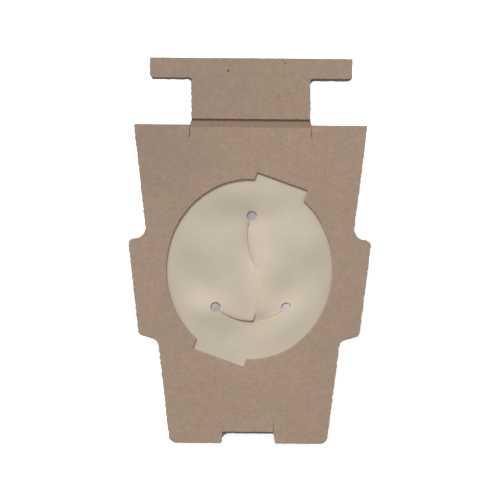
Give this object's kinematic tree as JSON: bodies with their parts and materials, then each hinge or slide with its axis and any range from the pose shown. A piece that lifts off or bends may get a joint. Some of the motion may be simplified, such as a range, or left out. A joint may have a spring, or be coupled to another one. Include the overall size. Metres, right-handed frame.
{
  "type": "vacuum dust bag",
  "caption": "Flat vacuum cleaner dust bag: two-layer board collar with a hinged pull tab, a keyed oval mouth closed by a slit rubber seal, and the filter pouch folded up flat behind it.",
  "frame": {"origin": "on the surface that the bag lies on, at the middle of its length and width", "axes": "+X across the collar to the right as seen from its front, +Y along the collar from its foot to its pull tab, +Z out of the collar's front face, away from the surface"},
  "size_m": [0.1208, 0.1926, 0.0115],
  "materials": {
    "board": "unprinted grey-brown recycled board, matt, with fine darker and lighter fibres",
    "seal_rubber": "thin cream rubber sheet, softly rippled, faint sheen",
    "filter_cloth": "pale lavender-grey non-woven filter cloth, matt"
  },
  "bodies": {
    "root": {"collar_front_board": "board", "collar_back_board": "board", "pull_tab_facing": "board", "mouth_seal": "seal_rubber", "filter_pouch": "filter_cloth"}
  },
  "joints": []
}
